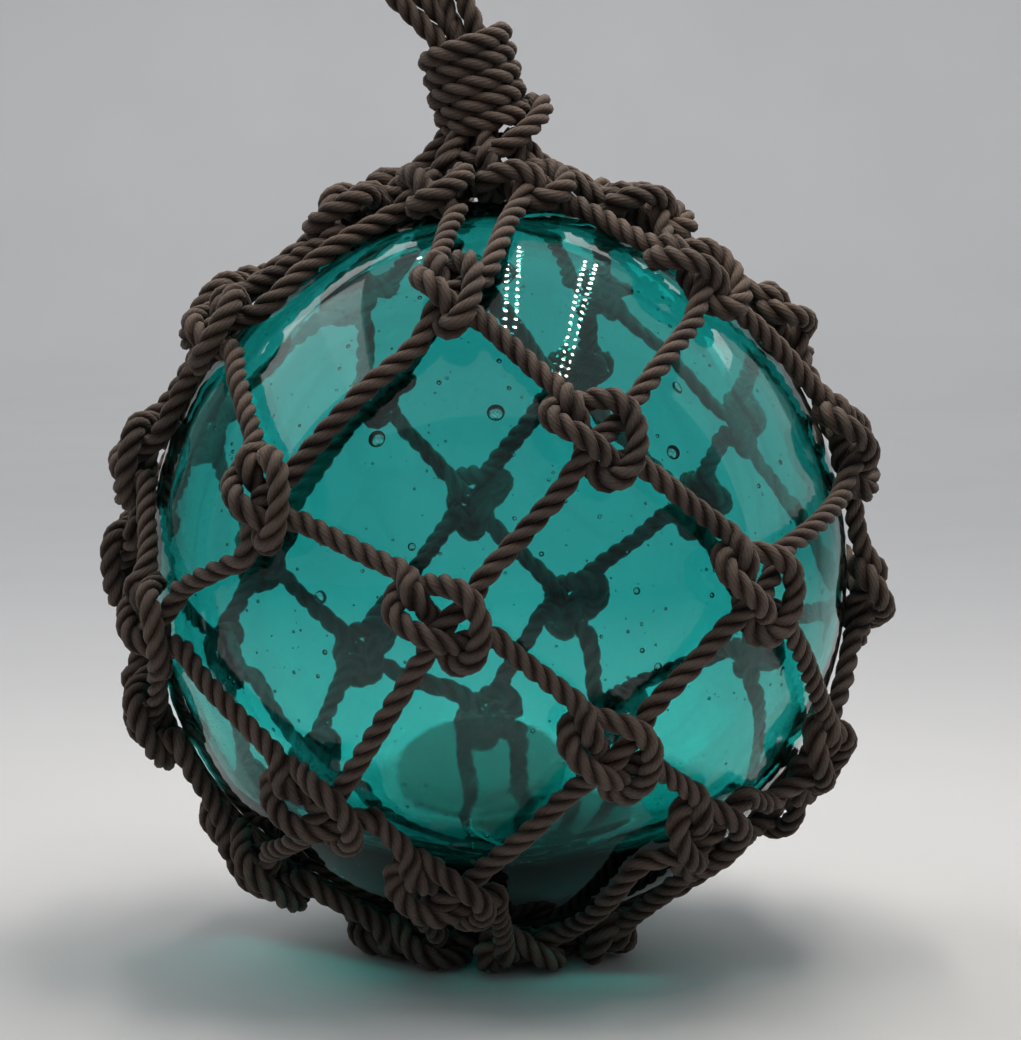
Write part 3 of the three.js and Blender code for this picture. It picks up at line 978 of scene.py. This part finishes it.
soft_light("top_soft_box", (0, -0.1, 1.6), (0, 0, 0.1), (2.6, 2.2), 5.6)
soft_light("left_soft_box", (-0.78, 0.14, 0.84), (0, 0, 0.12), (0.8, 0.62), 2.0)
soft_light("right_soft_box", (0.95, 0.32, 0.6), (0, 0, 0.12), (0.9, 0.8), 1.1)
soft_light("front_fill", (-0.4, -1.9, 1.0), (0, 0, 0.12), (1.6, 1.2), 0.5)
soft_light("back_soft_box", (0.0, 0.75, 1.0), (0, 0.85, 0), (2.4, 0.3), 4)
soft_light("wall_soft_box", (0.0, 1.9, 1.9), (0, 3.1, 0.7), (3.2, 0.8), 25)

# %% Teal light under the glass
soft_light("glow_through_the_glass", (-0.07, -0.02, 0.02), (-0.08, -0.03, 0),
           (0.08, 0.05), 0.0035, "#3fd6c8")
soft_light("glow_in_front", (0.02, -0.045, 0.012), (0.02, -0.055, 0), (0.06, 0.02), 0.0012,
           "#3fd6c8")

# %% Lines of small lamps overhead
LAMP_HEIGHT = 0.7
LAMP_SPACING = 0.03
LAMP_HALF_WIDTH = 0.0032
ROWS_APART = 0.024
LAMP_LINES = [(-0.15, 0.24, 0.06), (0.035, 0.24, -0.16), (0.2, 0.24, -0.3)]  # x, back, front
lamp_glow, tree = new_material("lit_lamp_dots")
glow = add_node(tree, "ShaderNodeEmission", {"Color": linear("#fffaf0"), "Strength": 400.0})
add_node(tree, "ShaderNodeOutputMaterial", {"Surface": glow.outputs["Emission"]})
dots = bmesh.new()
for x, back, front in LAMP_LINES:
    for row in (-ROWS_APART / 2, ROWS_APART / 2):
        for i in range(round((back - front) / LAMP_SPACING) + 1):
            place = Matrix.Translation((x + row, back - LAMP_SPACING * i, LAMP_HEIGHT))
            bmesh.ops.create_grid(dots, x_segments=1, y_segments=1, size=LAMP_HALF_WIDTH,
                                  matrix=place)
dots_mesh = bpy.data.meshes.new("strip_lamps")
dots.to_mesh(dots_mesh)
dots.free()
dots_mesh.materials.append(lamp_glow)
lamps = link(bpy.data.objects.new("strip_lamps", dots_mesh))
lamps.visible_camera = False
print("lamp dots:", len(dots_mesh.polygons))

# %% Even light of the room, and the plain view transform
world = bpy.data.worlds.new("soft_grey_room")
world.use_nodes = True
world.node_tree.nodes["Background"].inputs["Color"].default_value = linear("#c4c8ca")
world.node_tree.nodes["Background"].inputs["Strength"].default_value = 0.36
bpy.context.scene.world = world
bpy.context.scene.view_settings.view_transform = "Standard"

# %% Camera at the photograph's viewing angle
camera_data = bpy.data.cameras.new("camera")
camera_data.lens = 127.04
camera_data.sensor_width = 36
camera_data.sensor_fit = "AUTO"
camera = link(bpy.data.objects.new("camera", camera_data))
camera.location = (0.0042, -1.1408, 0.2499)
camera.rotation_euler = (math.radians(90 - 5.7), 0, 0)
bpy.context.scene.camera = camera
